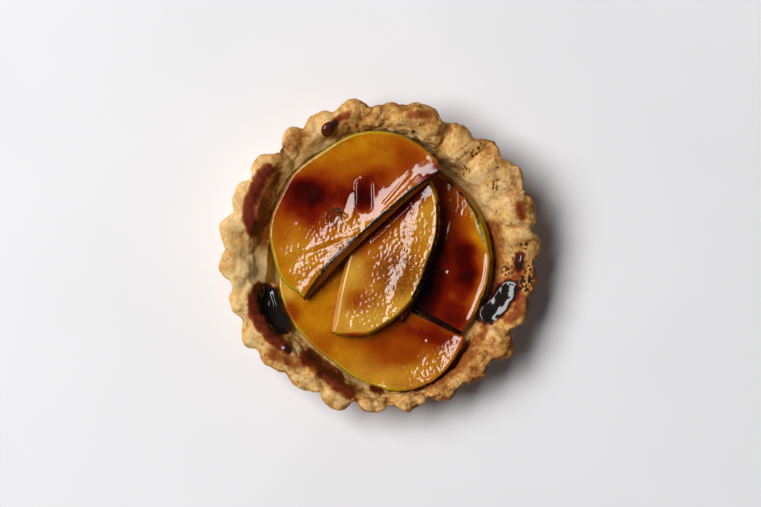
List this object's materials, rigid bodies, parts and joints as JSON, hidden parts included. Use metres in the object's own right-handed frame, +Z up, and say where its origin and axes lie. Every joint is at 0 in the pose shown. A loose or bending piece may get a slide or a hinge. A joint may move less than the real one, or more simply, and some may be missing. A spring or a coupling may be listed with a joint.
{
  "type": "persimmon tart",
  "caption": "Small fluted shortcrust tart with overlapping glazed half slices of persimmon and set syrup on its uneven, browned rim.",
  "frame": {"origin": "middle of the tart's footprint on its flat base, at the surface it rests on", "axes": "+Z up; +X right and +Y away as the tart is seen from above"},
  "size_m": [0.1148, 0.112, 0.0237],
  "materials": {
    "pastry": "baked shortcrust, dry and crumbly, browned at the crests",
    "persimmon": "roasted fruit under a wet glaze, dark where syrup pools",
    "syrup": "set dark syrup, wet and mirror smooth"
  },
  "bodies": {
    "root": {"tart_crust": "pastry", "persimmon_slice_bottom": "persimmon", "persimmon_slice_right": "persimmon", "persimmon_slice_sliver": "persimmon", "persimmon_slice_middle": "persimmon", "persimmon_slice_top": "persimmon"}
  },
  "joints": []
}
